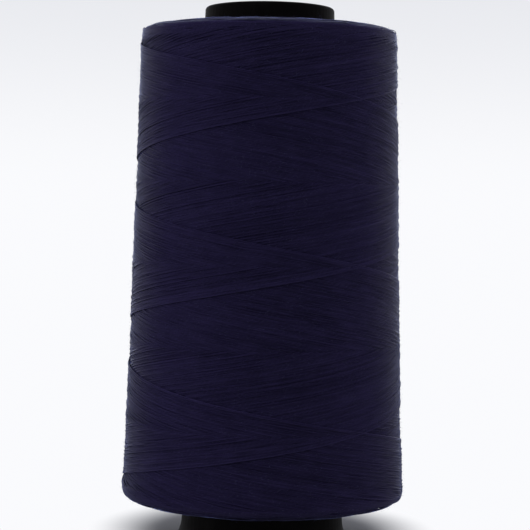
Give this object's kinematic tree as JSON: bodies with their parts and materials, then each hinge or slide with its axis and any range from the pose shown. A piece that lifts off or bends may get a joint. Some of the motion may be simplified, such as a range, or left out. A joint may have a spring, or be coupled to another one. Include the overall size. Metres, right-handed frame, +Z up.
{
  "type": "cone of sewing thread",
  "caption": "Cross-wound cone of dark navy sewing thread on a black tapered plastic core, for an overlocker or sewing machine.",
  "frame": {"origin": "centre of the core's underside, on the core's axis, where the cone stands", "axes": "+Z up the axis of the core towards its nose; +Y points at the thread notch in the foot, and the picture looks along +Y"},
  "size_m": [0.0653, 0.0654, 0.125],
  "materials": {
    "core_plastic": "black moulded plastic, satin, with a fine drawn grain",
    "thread": "dark navy spun polyester sewing thread, cross-wound, with fine fuzz"
  },
  "bodies": {
    "root": {"plastic_core": "core_plastic", "inner_windings": "thread", "outer_thread_turns": "thread"}
  },
  "joints": []
}
